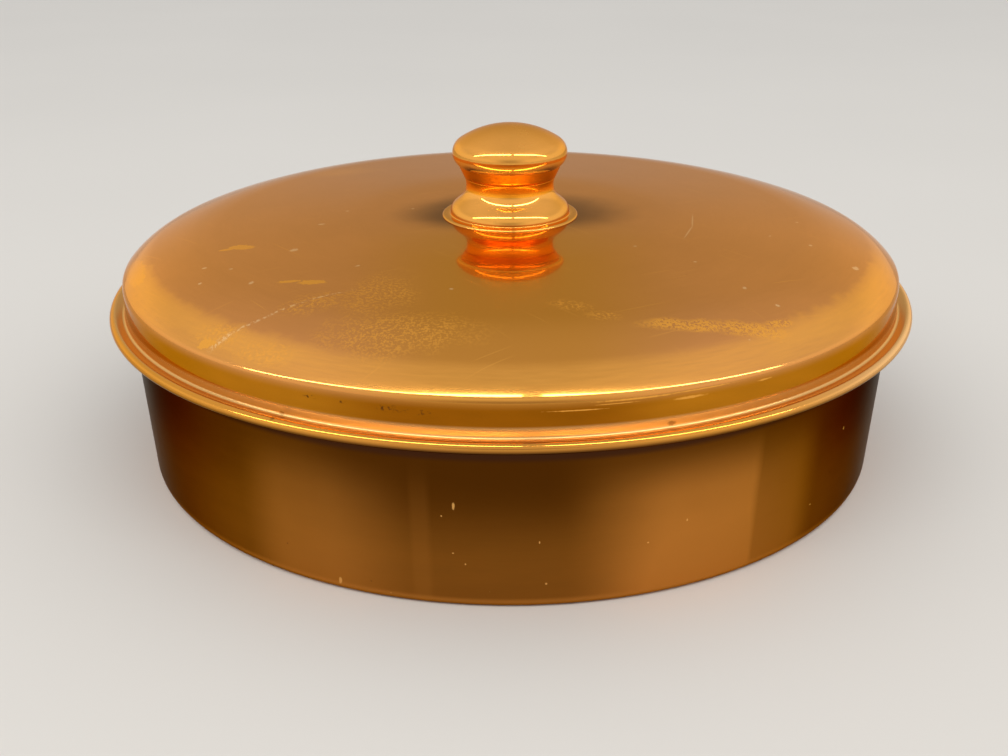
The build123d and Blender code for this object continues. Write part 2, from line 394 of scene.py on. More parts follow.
class Finish(Nodes):
    """A material in the making, with the coordinates that every finish here starts from."""

    def __init__(self, name):
        self.material = bpy.data.materials.new(name)
        self.material.use_nodes = True
        super().__init__(self.material.node_tree)
        self.place = self.add("ShaderNodeTexCoord").outputs["Object"]
        self.x, self.y, self.z = self.parts(self.place)
        self.radius = self.maths("SQRT", self.x * self.x + self.y * self.y)
        self.colour = None

    def lay(self, over, factor):
        """Lays a colour over the finish's own."""
        self.colour = self.blend(self.colour, over, factor)

    def turned(self):
        """The angle round the axis in degrees, 0 at the front and growing to the right."""
        return self.maths("ARCTAN2", self.x, self.y * -1.0) * math.degrees(1)

    def noise(self, size, detail=2.0, vector=None, roughness=0.5, offset=0.0):
        """Cloudy noise from 0 to 1 whose clouds are about the given size across."""
        sockets = {
            "Vector": vector or self.place,
            "W": offset,
            "Scale": 1 / size,
            "Detail": detail,
            "Roughness": roughness,
        }
        node = self.add("ShaderNodeTexNoise", sockets, noise_dimensions="4D")
        return Value(self, node.outputs["Fac"])

    def mapped(self, centre, reach, turn=0.0):
        """Object coordinates seen from centre, turned, and 1 at the given reach."""
        sockets = {"Vector": self.place, "Location": centre, "Scale": reach}
        sockets["Rotation"] = (0, 0, turn)
        return self.add("ShaderNodeMapping", sockets, vector_type="TEXTURE").outputs["Vector"]

    def patch(self, centre, reach, turn, ragged, soft):
        """An oval patch that fades at its edge, ragged where a noise is given."""
        sockets = {0: self.mapped(centre, reach, turn)}
        node = self.add("ShaderNodeVectorMath", sockets, operation="LENGTH")
        away = Value(self, node.outputs["Value"])
        if ragged is not None:
            away = away + (ragged - 0.5) * PATCH_RAGGEDNESS
        return self.rise(away, 1 + soft, 1 - soft)

    def top_marks(self, marks, ragged, soft):
        """Marks on the lid's top: x, y, half length and half width in millimetres, and turn."""
        found = []
        for x, y, long, wide, turn in marks:
            centre = (x * MILLIMETRE, y * MILLIMETRE, 0)
            reach = (long * MILLIMETRE, wide * MILLIMETRE, 1)
            found.append(self.patch(centre, reach, math.radians(turn), ragged, soft))
        return self.most(*found)

    def side_marks(self, radius, marks, ragged, soft):
        """Marks on an upright face: turn, height, half width and half height in millimetres."""
        found = []
        for turn, height, wide, tall in marks:
            bearing = math.radians(turn)
            centre = (radius * math.sin(bearing), -radius * math.cos(bearing), height * MILLIMETRE)
            reach = (wide * MILLIMETRE, SIDE_MARK_DEPTH, tall * MILLIMETRE)
            found.append(self.patch(centre, reach, bearing, ragged, soft))
        return self.most(*found)

    def turning_lines(self, spacing, hold, offset=0.0):
        """Noise drawn out round the axis, as the lines that turning leaves.

        hold is how far a line runs, in spacings, before it fades into the next.
        """
        reach = spacing * hold
        sockets = {"X": self.radius, "Y": self.z, "Z": self.x / self.radius * reach}
        along = self.add("ShaderNodeCombineXYZ", sockets).outputs["Vector"]
        return self.noise(spacing, vector=along, offset=self.y / self.radius * reach + offset)

    def flecks(self, spacing, size, turn):
        """Small irregular flecks, at most one in each cell of the given spacing."""
        place = self.mapped(ORIGIN, (1, 1, 1), turn)
        cells = self.add("ShaderNodeTexVoronoi", {"Vector": place, "Scale": 1 / spacing})
        drawn = self.add("ShaderNodeSeparateColor", {"Color": cells.outputs["Color"]})
        chance = Value(self, drawn.outputs["Red"])
        reach = self.rise(chance, 0.35, 1.0) * (size / spacing)
        away = Value(self, cells.outputs["Distance"])
        near = self.rise(away - reach, 0.25 * size / spacing, 0.0)
        return near * self.rise(chance, 0.45, 0.5)

    def scratches(self, size, width, turn, threshold):
        """Fine straight scratches that run one way."""
        drawn = self.noise(1.0, detail=0.0, vector=self.mapped(ORIGIN, (size, width, size), turn))
        return self.rise(drawn, threshold, threshold + 0.05)

    def doming(self, sizes):
        """Height of the crown's doming, too faint for its outline: it shows in what it mirrors."""
        starts = []
        for start in (sizes.dome_start, sizes.dome_end):
            past = self.radius - start
            starts.append(past + self.maths("SQRT", past * past + sizes.dome_blend**2))
        return (starts[0] - starts[1]) * (-math.tan(sizes.dome_slope) / 2)

    def bump(self, height, distance, **sockets):
        """A normal bent by a height, over another one where Normal is given."""
        sockets |= {"Height": height, "Distance": distance}
        return self.add("ShaderNodeBump", sockets).outputs["Normal"]

    def metal(self, roughness, normal, anisotropic=0.0, edge=(1, 1, 1)):
        """A metal in the finish's colour, whose highlights draw out across its turning lines."""
        sockets = {
            "Base Color": self.colour,
            "Metallic": 1.0,
            "Roughness": roughness,
            "Normal": normal,
            "Specular Tint": self.tint(edge),
            "Anisotropic": anisotropic,
            "Anisotropic Rotation": ACROSS_THE_LINES,
        }
        return self.add("ShaderNodeBsdfPrincipled", sockets).outputs["BSDF"]

    def mixed(self, first, second, factor):
        """Two shaders on one face."""
        return self.add("ShaderNodeMixShader", {0: factor, 1: first, 2: second}).outputs[0]

    def close(self, shader):
        output = self.add("ShaderNodeOutputMaterial", {"Surface": shader})
        output.is_active_output = True
        return self.material


# Marks on the lid's top: x, y, half length and half width in millimetres, and turn in degrees
MOTTLES = (
    (-33, -72, 12, 8, 80), (-27, -94, 16, 8, 0), (-48, -76, 8, 5, 20), (15, -81, 6, 3, -20),
    (23, -87, 4, 2.5, -20), (-72, -84, 8, 3, -30), (-59, -95, 9, 3, -25),
)
STREAKS = ((43, -89.5, 12, 2.2, 5), (57, -88, 9, 2.6, 8), (66, -83, 4, 1.2, 30))
SCUFFS = (
    (-51.5, -62.4, 3.6, 1.7, 0), (-57.5, -61.5, 3.2, 0.9, 10), (-76.1, -31.2, 3.6, 2.2, 0),
    (-79.5, -33.0, 2.4, 0.8, 20), (-106.3, -32.5, 12.5, 2.5, 111),
    (-74.5, -85.0, 2.6, 1.0, -25),
)
PALE_MARKS = (
    (-41, -50, 0.8, 0.4, 40), (-60.5, -35, 1.4, 0.9, 60), (-56, -10, 1.0, 0.6, 20),
    (-50, 4, 0.5, 0.5, 0), (-67.5, -61.5, 0.9, 0.6, 70), (-83, -47, 0.6, 0.5, 0),
    (-75, -50, 0.5, 0.4, 0), (-82, -57, 0.5, 0.5, 0), (85, -30, 0.5, 0.7, 0),
    (75, -22, 0.6, 0.3, 50), (60, -67, 0.5, 0.8, 0), (67, -75, 0.6, 0.5, 0),
    (50, -47, 0.5, 0.4, 0), (-15, -69, 0.5, 0.5, 0), (95, -42, 1.3, 0.8, 60),
    (86, -7, 0.5, 0.5, 0), (-30, 6, 0.4, 0.4, 0), (35, -34, 0.5, 0.4, 0),
)
DOTTED_SCRATCH = (
    (-71.5, -86.5, 4.5, 0.9, 20), (-64.0, -83.5, 4.5, 0.5, 24), (-56.0, -79.0, 5.5, 0.4, 32),
    (-46.5, -72.8, 6.5, 0.4, 33),
)
LONG_SCRATCH = ((54.5, -8, 6.5, 0.22, 82), (51.8, -19.5, 6.0, 0.24, 72))
BACK_BLOTCH = ((-59, 57, 9, 5, 20),)

# Marks on upright faces: turn in degrees, then height, half width and half height in millimetres
SKIRT_NICKS = (
    (-23.8, 54.2, 1.6, 0.4), (-19.5, 54.2, 1.0, 0.3), (-14.0, 54.0, 3.0, 0.8),
    (-10.5, 53.8, 2.6, 0.5), (-8.0, 58.0, 0.2, 0.5), (-6.8, 58.2, 0.2, 0.5),
    (-4.6, 58.1, 0.2, 0.4), (27.0, 50.5, 0.4, 0.3),
)
CREASE_SPOTS = ((18.8, 48.9, 1.0, 0.5), (-28.0, 48.4, 0.7, 0.4))
# The scuffs about 55 to 56.5 mm high are partly a painted highlight: a dent's second highlight
SKIRT_SCUFFS_AND_GLINTS = (
    (14.5, 56.25, 8.5, 0.20), (22.5, 56.4, 8.0, 0.14), (7.5, 54.5, 6.5, 0.14),
    (12.0, 55.5, 5.0, 0.10), (21.0, 54.8, 3.6, 0.30), (31.5, 55.3, 2.0, 0.20),
)
WALL_CHIPS = (
    (-6.9, 28.8, 0.32, 0.91), (-8.4, 25.9, 0.21, 0.28), (-7.1, 15.6, 0.28, 0.21),
    (-5.6, 12.6, 0.21, 0.28), (-22.5, 3, 0.42, 0.91), (-27.3, 0.9, 0.35, 0.28),
    (4.4, 7, 0.28, 0.28), (22.5, 20.4, 0.21, 0.35), (17.3, 16, 0.28, 0.21),
    (3.5, 19, 0.17, 0.35), (51.5, 29.3, 0.35, 0.42), (45, 11.2, 0.42, 0.28),
)

# Zones of the finishes, in metres, or in degrees where the name ends in TURN or TURNS. Two
# numbers are where a layer starts to show and where it is full. Three are a band's ends and its
# softness.
LID_TOP_HEIGHT = (0.0575, 0.0600)
SHADED_RING = (0.0940, 0.1035, 0.005)
CLEAN_ACROSS = (0.050, 0.012)
CLEAN_FORWARD = (0.0, -0.03)
SKIRT_HEIGHT = (0.0580, 0.0545)
SKIRT_SHADE_TURN = (-12, 9, 14)
SHOULDER_RING = (0.1100, 0.1140, 0.004)
SHOULDER_HEIGHT = (0.0560, 0.0585)
# The rim's two sides are rubbed and painted lighter, as painted highlight from bright surroundings
WORN_AND_LIT_RING = (0.1082, 0.1115, 0.0030)
WORN_AND_LIT_TURNS = ((40, 72, 9), (-68, -30, 9))
BEAD_HEIGHT = (0.0494, 0.0486)
BEAD_GLINT_TURN = (25, 65)
CREASE_HEIGHT = (0.0510, 0.0499)
CREASE_RING = (0.1192, 0.1182)
UNDERSIDE_HEIGHT = (0.0474, 0.0461)
HALO_RING = (0.036, 0.017)
HALO_BACKWARD = (-0.024, -0.006)
SCUFF_HEIGHT = (0.0530, 0.0560)
SKIRT_SCUFF_RADIUS = 0.1145
SKIRT_NICK_RADIUS = 0.1150
CREASE_SPOT_RADIUS = 0.1155

WALL_FOOT_HEIGHT = (0.036, 0.004)
WALL_FRONT_TURN = (-18, 4, 10)
WALL_SHADE_HEIGHT = (0.016, 0.040)
FRONT_SHADE_HEIGHT = (0.010, 0.034)
BEAD_SHADOW_HEIGHT = (0.0421, 0.0458, 0.0017)
REFLECTION_AND_RUBBED_HEIGHT = (0.043, 0.027)
RUBBED_BEHIND = (-0.04, 0.0)
THIN_BAND_TURN = (-11.8, -10.6, 1.2)
WALL_EDGE_HEIGHT = (0.0032, 0.0018)
CLEAN_NECK_HEIGHT = (0.0464, 0.0490)
WALL_CHIP_RADIUS = 0.1125
# Upright bands of painted reflection: the turns of the fading in and of the fading out, and the
# strength
REFLECTION_BAND_TURNS = (
    ((6, 22), (35, 32), 1.0),
    ((28, 33), (46, 40), 0.45),
    ((-38, -30), (-10, -24), 0.42),
)

CAP_RIM_HEIGHT = (0.0870, 0.0895, 0.001)
UNDER_CAP_HEIGHT = (0.0844, 0.0866, 0.0005)
THROAT_HEIGHT = (0.0770, 0.0840, 0.0003)
THROAT_FOOT_HEIGHT = (0.0755, 0.0775)
FLANGE_RING = (0.0186, 0.0192)
FLANGE_HEIGHT = (0.0700, 0.0697)
FLANGE_BACKWARD = (-0.0175, -0.0120)
BELL_SIDES_ACROSS = (0.0105, 0.0150)
BELL_SIDES_HEIGHT = (0.0770, 0.0750)
BELL_FOOT_HEIGHT = (0.0735, 0.0720)
DOME_HEIGHT = (0.0895, 0.0925)


def lid_finish(colours, sizes):
    """Satin copper: turning lines, rubbed places, scuffs, specks, tarnish, painted light and
    shade.
    """
    finish = Finish("Lid copper")
    x, y, z, radius = finish.x, finish.y, finish.z, finish.radius
    turn = finish.turned()
    cloud = finish.noise(size=0.030, detail=3.0)
    grain = finish.noise(size=0.0010, detail=3.0, roughness=0.6)
    ragged = finish.noise(size=0.006, detail=3.0, offset=5.0)
    fine = finish.turning_lines(spacing=0.0007, hold=14.0)
    broad = finish.turning_lines(spacing=0.005, hold=6.0, offset=3.0)
    top = finish.rise(z, *LID_TOP_HEIGHT)

    # The top is even, with a ring of painted shade near its edge, and cleaner down the front
    dull = finish.band(radius, *SHADED_RING)
    lightness = 0.91 + cloud * 0.16 + (fine - 0.5) * 0.08 + broad * 0.06 - dull * 0.05
    finish.colour = finish.shade(colours.lid_copper, lightness)
    clean = finish.rise(finish.maths("ABSOLUTE", x), *CLEAN_ACROSS)
    finish.lay(colours.middle_copper, clean * finish.rise(y, *CLEAN_FORWARD) * 0.9)

    # The skirt is browner, and painted darkest at the front as painted shade for the dark it
    # mirrors
    skirt = finish.rise(z, *SKIRT_HEIGHT)
    shaded = finish.band(turn, *SKIRT_SHADE_TURN) * 0.9
    brown = finish.blend(colours.skirt_copper, colours.painted_skirt_shade, shaded)
    finish.lay(finish.shade(brown, 0.8 + broad * 0.4), skirt)

    # Painted highlight on the rubbed shoulder, rim sides and bead; a pale painted reflection in
    # the crease
    shoulder = finish.band(radius, *SHOULDER_RING) * finish.rise(z, *SHOULDER_HEIGHT)
    finish.lay(colours.rubbed_copper, shoulder * (0.3 + fine * 0.5))
    rim = finish.band(radius + (ragged - 0.5) * 0.008, *WORN_AND_LIT_RING) * top
    worn_and_lit_sides = finish.most(*(finish.band(turn, *side) for side in WORN_AND_LIT_TURNS))
    finish.lay(colours.rubbed_copper, rim * worn_and_lit_sides * (0.15 + ragged * 0.45))
    # Painted highlight: the bead painted lighter, paler at the right where it mirrors a bright
    # light
    pale = finish.rise(turn, *BEAD_GLINT_TURN)
    bead = finish.blend(colours.rubbed_copper, colours.fleck, pale * 0.9)
    finish.lay(bead, finish.rise(z, *BEAD_HEIGHT) * (0.5 + pale * 0.4))
    # Painted reflection: the crease is painted pale for the light that its hollow mirrors
    crease = finish.rise(z, *CREASE_HEIGHT) * finish.rise(radius, *CREASE_RING)
    finish.lay(colours.crease_copper, crease * 0.95)
    # Painted shade: the bead's underside is painted nearly black for its shadow and the dark it
    # mirrors
    finish.lay(colours.pit_and_shadow, finish.rise(z, *UNDERSIDE_HEIGHT) * 0.85)

    # Tarnish lies beside and behind the knob's flange, and a rubbed blotch at the back left
    spread = finish.maths("SQRT", x * x * 0.8 + y * y * 1.5)
    ring = finish.rise(spread + (cloud - 0.5) * 0.014, *HALO_RING)
    ring = ring * finish.rise(y, *HALO_BACKWARD)
    finish.lay(colours.halo, ring * 0.92)
    blotch = finish.top_marks(BACK_BLOTCH, ragged, soft=0.7) * top
    finish.lay(colours.rubbed_copper, blotch * 0.35)

    # Rubbed mottling and streaks
    speckle = finish.noise(size=0.0008, roughness=0.7, offset=9.0)
    mottled = finish.top_marks(MOTTLES, ragged, soft=0.6) * finish.rise(speckle, 0.49, 0.56)
    streaked = finish.top_marks(STREAKS, ragged, soft=0.5) * finish.rise(speckle, 0.40, 0.52)
    rubbed = finish.most(mottled * 0.6, streaked * 0.85) * top
    finish.lay(colours.bright_scuff_and_glint, rubbed)

    # Fresh scuffs down to bare copper; on the skirt they are partly a painted highlight from a
    # dent
    bare_and_glint = finish.most(
        finish.top_marks(SCUFFS, grain, soft=0.15) * finish.rise(z, *SCUFF_HEIGHT),
        finish.side_marks(SKIRT_SCUFF_RADIUS, SKIRT_SCUFFS_AND_GLINTS, grain, soft=0.4) * 0.9,
    )
    finish.lay(colours.bright_scuff_and_glint, bare_and_glint * 0.9)

    # Pale flecks, the long scratches and fine random ones
    marks = finish.most(
        finish.top_marks(PALE_MARKS, grain, soft=0.3),
        finish.top_marks(DOTTED_SCRATCH, grain, soft=0.5) * finish.rise(speckle, 0.48, 0.56),
        finish.top_marks(LONG_SCRATCH, None, soft=0.5) * 0.8,
        finish.flecks(spacing=0.009, size=0.00022, turn=0.4),
    )
    fleck = marks * top
    finish.lay(colours.fleck, fleck * 0.6)
    hair = finish.most(
        finish.scratches(size=0.022, width=0.00045, turn=0.5, threshold=0.76),
        finish.scratches(size=0.030, width=0.00050, turn=-0.9, threshold=0.77),
    )
    finish.lay(colours.rubbed_copper, hair * top * 0.4)
    nicks = finish.most(
        finish.side_marks(SKIRT_NICK_RADIUS, SKIRT_NICKS, ragged, soft=0.5)
        * finish.rise(grain, 0.52, 0.60),
        finish.side_marks(CREASE_SPOT_RADIUS, CREASE_SPOTS, grain, soft=0.4) * 0.7,
        finish.flecks(spacing=0.010, size=0.00022, turn=1.1) * 0.6,
    )
    finish.lay(colours.pit_and_shadow, nicks * 0.8)

    # A hazy reflection and a sharp one, both over the faint doming
    height = fine * 0.5 + grain * 0.2 + cloud * 6.0 + hair * top * -0.5 + fleck * -1.0
    swell = finish.bump(finish.doming(sizes), distance=1.0)
    rough = 0.17 + (cloud - 0.5) * 0.05 + rubbed * 0.16 + crease * 0.12
    brushed = finish.bump(height, distance=0.00001, Normal=swell)
    haze = finish.metal(rough, brushed, 0.3, colours.warm_edge)
    polished = finish.bump(height, distance=0.000003, Normal=swell)
    sharp = finish.metal(0.045 + bare_and_glint * 0.2, polished, 0.0, colours.warm_edge)
    share = colours.mirror_share - rubbed * 0.3 - bare_and_glint * 0.35 - crease * 0.4
    return finish.close(finish.mixed(haze, sharp, share))


def dish_finish(colours):
    """Brown satin copper: level turning lines, chips, upright bands of painted reflection, painted
    shade.
    """
    finish = Finish("Dish copper")
    z = finish.z
    turn = finish.turned()
    fine = finish.turning_lines(spacing=0.0006, hold=14.0)
    broad = finish.turning_lines(spacing=0.004, hold=5.0, offset=2.0)
    cloud = finish.noise(size=0.022, detail=3.0)
    grain = finish.noise(size=0.0014, detail=3.0)
    upright = finish.noise(size=0.030, vector=finish.mapped(ORIGIN, (1, 1, 4)), offset=7.0)
    finish.colour = finish.shade(colours.dish_copper, 0.85 + broad * 0.25 + (fine - 0.5) * 0.14)

    # Painted shade under the lid's bead and at the front, a painted shadow line, painted light
    # downwards
    low = finish.rise(z, *WALL_FOOT_HEIGHT)
    front = finish.band(turn, *WALL_FRONT_TURN)
    finish.lay(colours.painted_wall_shadow, finish.rise(z, *WALL_SHADE_HEIGHT) * 0.6)
    finish.lay(colours.painted_wall_shadow, front * finish.rise(z, *FRONT_SHADE_HEIGHT) * 0.8)
    finish.lay(colours.wall_sheen_and_wear, low * (0.13 + upright * 0.15))
    finish.lay(colours.pit_and_shadow, finish.band(z, *BEAD_SHADOW_HEIGHT) * 0.92)

    # Upright bands: painted reflections of bright lights at the front, rubbed lighter behind
    bands = [
        finish.rise(turn, *start) * finish.rise(turn, *end) * strength
        for start, end, strength in REFLECTION_BAND_TURNS
    ]
    thin = finish.band(turn, *THIN_BAND_TURN)
    behind = finish.rise(upright, 0.52, 0.66) * finish.rise(finish.y, *RUBBED_BEHIND)
    light = finish.most(*bands, thin * 0.12, behind * 0.5)
    light = light * finish.rise(z, *REFLECTION_AND_RUBBED_HEIGHT) * (0.66 + cloud * 0.3 + low * 0.62)
    finish.lay(colours.wall_sheen_and_wear, light * 0.85)
    # Painted highlight along the rounded foot
    finish.lay(colours.wall_sheen_and_wear, finish.rise(z, *WALL_EDGE_HEIGHT) * 0.6)

    # The lid's skirt keeps the neck clean and rubs rings on it
    neck = finish.rise(z, *CLEAN_NECK_HEIGHT)
    finish.lay(colours.wall_sheen_and_wear, neck * (0.35 + broad * 0.5))

    chips = finish.most(
        finish.side_marks(WALL_CHIP_RADIUS, WALL_CHIPS, grain, soft=0.3),
        finish.flecks(spacing=0.009, size=0.00020, turn=0.7) * 0.6,
    )
    finish.lay(colours.chip, chips * 0.85)
    finish.lay(colours.pit_and_shadow, finish.flecks(spacing=0.008, size=0.00025, turn=1.9) * 0.4)
    height = fine * 0.8 + grain * 0.2 + cloud * 6.0 + chips * -1.0
    normal = finish.bump(height, distance=0.00001)
    rough = 0.34 + (cloud - 0.5) * 0.1
    return finish.close(finish.metal(rough, normal, 0.7, colours.dark_edge))


def tin_finish(name, colours):
    """Wiped tin: dull silver with broad wipe marks and turning lines."""
    finish = Finish(name)
    fine = finish.turning_lines(spacing=0.0009, hold=10.0)
    wipe = finish.turning_lines(spacing=0.012, hold=3.0, offset=4.0)
    cloud = finish.noise(size=0.018, detail=4.0, offset=2.0)
    finish.colour = finish.shade(colours.tin, 0.78 + wipe * 0.3 + (cloud - 0.5) * 0.25)
    finish.lay(colours.tin_stain, finish.rise(cloud, 0.60, 0.75) * 0.45)
    normal = finish.bump(fine * 0.7 + cloud * 5.0, distance=0.00001)
    return finish.close(finish.metal(0.36 + (wipe - 0.5) * 0.15, normal, 0.4))


def knob_finish(name, colours):
    """Polished copper with painted light and shade: a golden rim, paler below it, deep orange
    throat.
    """
    finish = Finish(name)
    z = finish.z
    fine = finish.turning_lines(spacing=0.0005, hold=10.0)
    cloud = finish.noise(size=0.006, detail=3.0)
    lightness = 0.94 + (fine - 0.5) * 0.06 + (cloud - 0.5) * 0.10
    finish.colour = finish.shade(colours.knob_copper, lightness)
    # Painted shade on the cap's rim, a painted highlight below it and a painted reflection in the
    # throat
    finish.lay(colours.rim_copper, finish.band(z, *CAP_RIM_HEIGHT))
    finish.lay(colours.cap_copper, finish.band(z, *UNDER_CAP_HEIGHT))
    throat = finish.band(z, *THROAT_HEIGHT) * finish.rise(z, *THROAT_FOOT_HEIGHT)
    finish.lay(colours.neck_copper, throat)
    flange = finish.rise(finish.radius, *FLANGE_RING) * finish.rise(z, *FLANGE_HEIGHT)
    finish.lay(colours.flange_copper, flange * finish.rise(finish.y, *FLANGE_BACKWARD) * 0.85)
    # Painted shade: the bell's sides and foot are painted darker for the dark that they mirror
    sides = finish.rise(finish.maths("ABSOLUTE", finish.x), *BELL_SIDES_ACROSS)
    sides = sides * finish.rise(z, *BELL_SIDES_HEIGHT)
    bell = finish.most(sides, finish.rise(z, *BELL_FOOT_HEIGHT))
    finish.lay(colours.rim_copper, bell * 0.75)

    # The dome and the throat are hazed, and the rest is sharp
    dome = finish.rise(z, *DOME_HEIGHT)
    normal = finish.bump(fine * 0.5 + cloud * 1.5, distance=0.000006)
    rough = 0.26 + (cloud - 0.5) * 0.1 + throat * 0.14
    haze = finish.metal(rough, normal, 0.2, colours.warm_edge)
    sharp = finish.metal(0.04, normal, 0.0, colours.warm_edge)
    return finish.close(finish.mixed(sharp, haze, 0.15 + dome * 0.5 + throat * 0.45))


def fitting_finish(name, tint, roughness):
    """Turned brass or drawn steel with a dull bloom."""
    finish = Finish(name)
    fine = finish.turning_lines(spacing=0.0004, hold=8.0)
    cloud = finish.noise(size=0.004, detail=3.0)
    finish.colour = finish.shade(tint, 0.85 + (fine - 0.5) * 0.2 + cloud * 0.25)
    normal = finish.bump(fine * 0.8 + cloud, distance=0.00001)
    return finish.close(finish.metal(roughness + (cloud - 0.5) * 0.15, normal, 0.3))


class COVERED_DISH_OT_dish(bpy.types.Operator):
    """Turn the dish's sheet, from the middle of its bottom to the inside of its rolled rim"""

    bl_idname = "covered_dish.dish"
    bl_label = "Turn the dish"

    def execute(self, context):
        settings = context.scene.covered_dish
        sizes = settings.dish
        half = sizes.sheet / 2
        flare = math.atan2(sizes.neck_radius - sizes.base_radius, sizes.neck_foot)
        corner_turn = RIGHT_ANGLE - flare
        corner_reach = sizes.corner_radius * math.tan(corner_turn / 2)
        wall = sizes.neck_foot / math.cos(flare) - corner_reach
        neck_start = sizes.neck_foot + sizes.neck_bend * math.sin(flare)
        course = Course(0, half)
        course.run(sizes.base_radius - corner_reach, steps=24)
        course.bend(sizes.corner_radius - half, corner_turn, steps=14)
        course.run(wall, steps=16)
        course.bend(sizes.neck_bend - half, flare, steps=5)
        course.run(sizes.rim_height - neck_start, steps=5)
        course.bend(sizes.rim_radius - half, sizes.rim_wrap, steps=44)
        copper = dish_finish(settings.finishes)
        tin = tin_finish("Dish tin", settings.finishes)
        upright = sizes.neck_foot / 2
        metals = [copper, tin]
        piece = turn_sheet("dish_turned", course, sizes.sheet, WIDE_SEGMENTS, upright, metals)
        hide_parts("dish_shell")
        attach(piece, "dish")
        return {"FINISHED"}


class COVERED_DISH_OT_lid(bpy.types.Operator):
    """Turn the lid's sheet, from its hole over the knuckle to the rolled bead"""

    bl_idname = "covered_dish.lid"
    bl_label = "Turn the lid"

    def execute(self, context):
        settings = context.scene.covered_dish
        sizes = settings.lid
        half = sizes.sheet / 2
        sine_fall = math.sin(sizes.fall_slope)
        sine_turn = math.sin(sizes.turn_slope)
        sine_edge = math.sin(sizes.edge_slope)
        sine_shoulder = math.sin(sizes.shoulder_slope)
        ledge = (
            sizes.skirt_radius
            - sizes.middle_radius
            - sizes.fall_radius * sine_fall
            - sizes.turn_radius * (sine_turn - sine_fall)
            - sizes.edge_radius * (sine_edge - sine_turn)
            - sizes.shoulder_radius * (sine_shoulder - sine_edge)
            - sizes.knuckle_radius * (1 - sine_shoulder)
        )
        bead_centre = sizes.radius - sizes.bead_radius
        apart = sizes.crease_radius + sizes.bead_radius
        sine_rise, cosine_rise = math.sin(sizes.crease_rise), math.cos(sizes.crease_rise)
        flare_reach = bead_centre - sizes.skirt_radius - sizes.crease_radius
        flare = (flare_reach - apart * sine_rise) / cosine_rise
        skirt_foot = sizes.bead_height + apart * cosine_rise - flare * sine_rise

        course = Course(sizes.hole_radius, sizes.top - half)
        course.run(sizes.middle_radius - sizes.hole_radius, steps=10)
        course.bend(sizes.fall_radius - half, -sizes.fall_slope, steps=6)
        course.run(ledge / math.cos(sizes.fall_slope), steps=8)
        course.bend(sizes.turn_radius - half, sizes.fall_slope - sizes.turn_slope, steps=10)
        course.bend(sizes.edge_radius - half, sizes.turn_slope - sizes.edge_slope, steps=8)
        shoulder_turn = sizes.edge_slope - sizes.shoulder_slope
        course.bend(sizes.shoulder_radius - half, shoulder_turn, steps=14)
        course.bend(sizes.knuckle_radius - half, sizes.shoulder_slope - RIGHT_ANGLE, steps=16)
        course.run(course.tip.co.z - skirt_foot, steps=5)
        course.bend(sizes.crease_radius + half, RIGHT_ANGLE + sizes.crease_rise, steps=18)
        course.run(flare, steps=2)
        course.bend(sizes.bead_radius - half, -sizes.bead_wrap, steps=44)
        copper = lid_finish(settings.finishes, sizes)
        tin = tin_finish("Lid tin", settings.finishes)
        metals = [copper, tin]
        piece = turn_sheet("lid_turned", course, sizes.sheet, WIDE_SEGMENTS, sizes.top, metals)
        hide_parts("lid_shell")
        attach(piece, "lid")
        return {"FINISHED"}


class COVERED_DISH_OT_knob(bpy.types.Operator):
    """Turn the knob's body and its cap"""

    bl_idname = "covered_dish.knob"
    bl_label = "Turn the knob"

    def execute(self, context):
        settings = context.scene.covered_dish
        sizes = settings.knob
        half = sizes.sheet / 2
        bell_turn = RIGHT_ANGLE - sizes.bell_slope
        roll = sizes.flange_roll - half
        flat = sizes.flange_radius - sizes.flange_roll - sizes.bell_radius - sizes.flange_fillet
        body = Course(sizes.flange_radius - half, settings.lid.top + half - roll, RIGHT_ANGLE)
        body.bend(roll, RIGHT_ANGLE, steps=10)
        body.run(flat, steps=2)
        body.bend(sizes.flange_fillet + half, -RIGHT_ANGLE, steps=10)
        body.bend(sizes.bell_swell - half, bell_turn, steps=18)
        body.run(sizes.bell_run, steps=2)
        body.bend(sizes.throat_radius + half, -bell_turn - sizes.throat_flare, steps=32)
        body_end = body.tip.co
        towards = Vector((math.cos(body.heading), 0, math.sin(body.heading)))
        cap_start = body_end + towards * sizes.seam
        cap = Course(cap_start.x, cap_start.z, body.heading)
        cap.run(sizes.cone_length, steps=6)
        cap.bend(sizes.crease_radius + half, -sizes.crease_turn, steps=8)
        rim_turn = RIGHT_ANGLE + sizes.throat_flare + sizes.crease_turn - sizes.dome_slope
        cap.bend(sizes.cap_rim_radius - half, rim_turn, steps=28)
        dome_radius = cap.tip.co.x / math.sin(sizes.dome_slope)
        dome_foot = cap.tip.co.z
        cap.bend(dome_radius, sizes.dome_slope, steps=20)

        for name, course, upright, node in (
            ("knob_body_turned", body, settings.lid.top + BELL_MIDDLE, "knob_body"),
            ("knob_cap_turned", cap, dome_foot, "knob_cap"),
        ):
            title = f"{node} copper".replace("_", " ").capitalize()
            copper = knob_finish(title, settings.finishes)
            piece = turn_sheet(name, course, sizes.sheet, KNOB_SEGMENTS, upright, [copper])
            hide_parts(node)
            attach(piece, "lid")
        return {"FINISHED"}


class COVERED_DISH_OT_fittings(bpy.types.Operator):
    """Give the wires, the anchor, the washer and the screw their finishes"""

    bl_idname = "covered_dish.fittings"
    bl_label = "Finish the fittings"

    def execute(self, context):
        colours = context.scene.covered_dish.finishes
        brass = fitting_finish("Fitting brass", colours.brass, roughness=0.30)
        steel = fitting_finish("Wire steel", colours.steel, roughness=0.38)
        for node, material in (
            ("dish_rim_wire", steel),
            ("lid_rim_wire", steel),
            ("knob_anchor", brass),
            ("knob_washer", brass),
            ("knob_screw", brass),
        ):
            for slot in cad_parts[node].material_slots:
                slot.material = material
        return {"FINISHED"}


